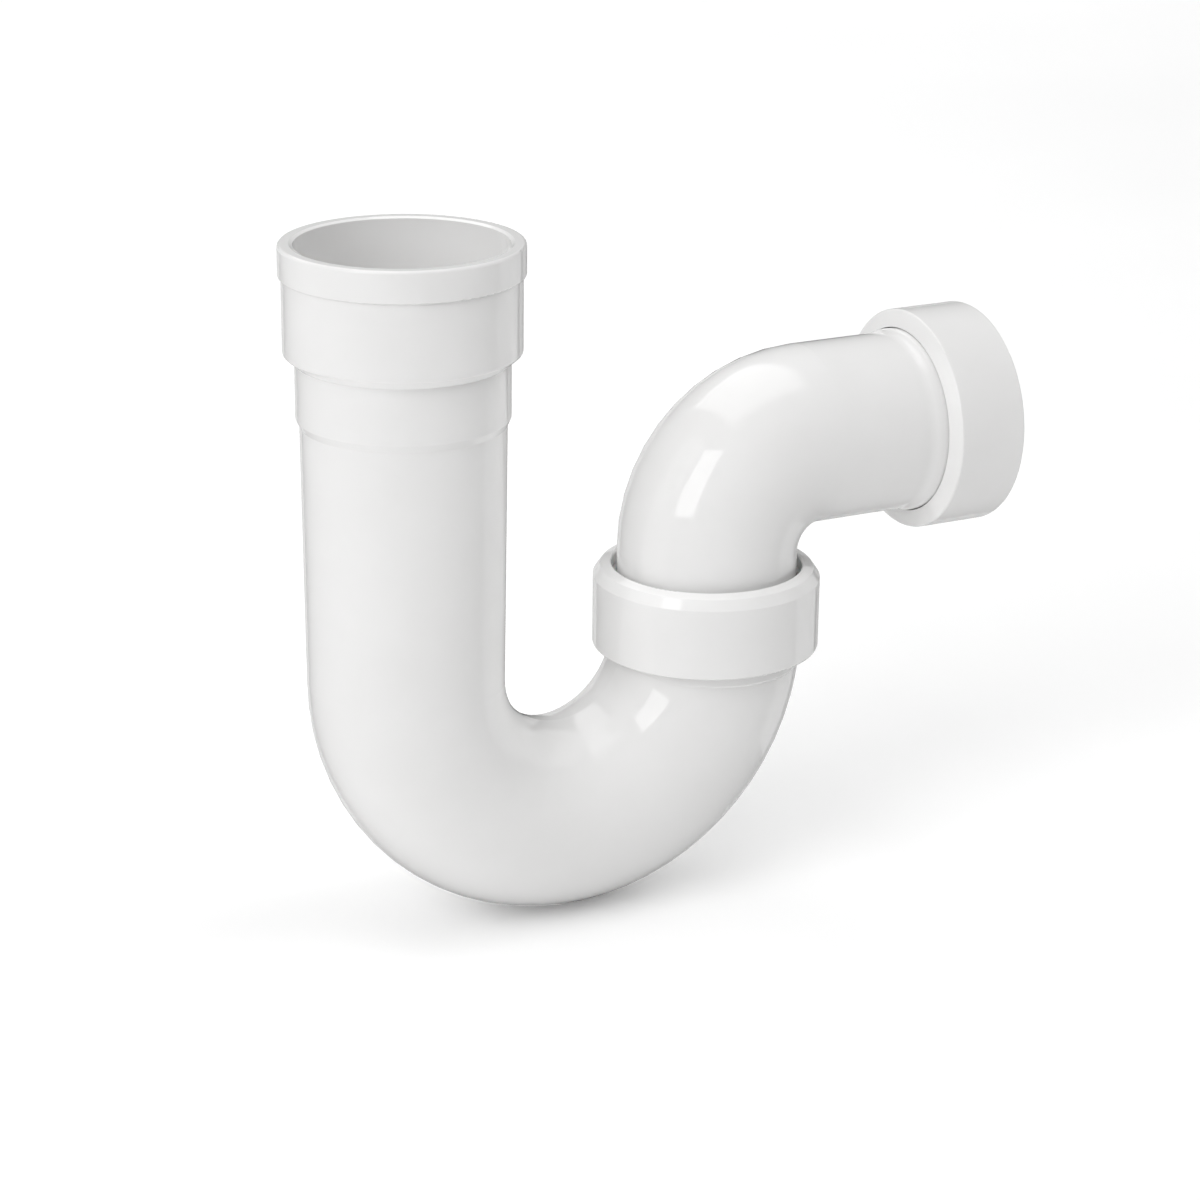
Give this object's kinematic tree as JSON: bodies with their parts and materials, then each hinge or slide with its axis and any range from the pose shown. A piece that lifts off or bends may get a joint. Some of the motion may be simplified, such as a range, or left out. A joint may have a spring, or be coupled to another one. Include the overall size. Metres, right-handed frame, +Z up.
{
  "type": "pvc p-trap",
  "caption": "Plastic P-trap: a socketed inlet leg and U-bend, a union nut holding a swivelling elbow, and a compression nut at the horizontal outlet.",
  "frame": {"origin": "centre of the inlet socket's mouth", "axes": "+Z up along the inlet's axis, out of its mouth; +X towards the outlet, which leaves horizontally; Y across the bend's plane"},
  "size_m": [0.1856, 0.0578, 0.1736],
  "materials": {
    "pvc": "moulded white, glossy",
    "seal_rubber": "matt black rubber",
    "slip_ring": "natural polythene, waxy"
  },
  "bodies": {
    "trap": {"trap_bend": "pvc", "union_seal": "seal_rubber"},
    "union_ring": {"union_slip_ring": "slip_ring"},
    "union_nut": {"union_nut": "pvc"},
    "elbow": {"outlet_elbow": "pvc", "outlet_seal": "seal_rubber"},
    "outlet_ring": {"outlet_slip_ring": "slip_ring"},
    "outlet_nut": {"outlet_nut": "pvc"}
  },
  "joints": [
    {"name": "union_ring_lift", "type": "slide", "parent": "trap", "child": "union_ring", "axis": [0, 0, 1], "range_m": [0, 0.00578]},
    {"name": "union_nut_turn", "type": "hinge", "parent": "union_ring", "child": "union_nut", "pos_m": [0.0824, 0, -0.0965], "axis": [0, 0, 1], "range_deg": [0, 900]},
    {"name": "elbow_swivel", "type": "hinge", "parent": "trap", "child": "elbow", "pos_m": [0.0824, 0, -0.0965], "axis": [0, 0, 1], "range_deg": [-139, 139]},
    {"name": "outlet_ring_run", "type": "slide", "parent": "elbow", "child": "outlet_ring", "axis": [1, 0, 0], "range_m": [0, 0.00924]},
    {"name": "outlet_nut_turn", "type": "hinge", "parent": "outlet_ring", "child": "outlet_nut", "pos_m": [0.1502, 0, -0.0601], "axis": [1, 0, 0], "range_deg": [0, 1440]}
  ],
  "couplings": [
    {"joint": "union_ring_lift", "follows": "union_nut_turn", "m_per_rad": 0.00036749},
    {"joint": "outlet_ring_run", "follows": "outlet_nut_turn", "m_per_rad": 0.00036749}
  ]
}
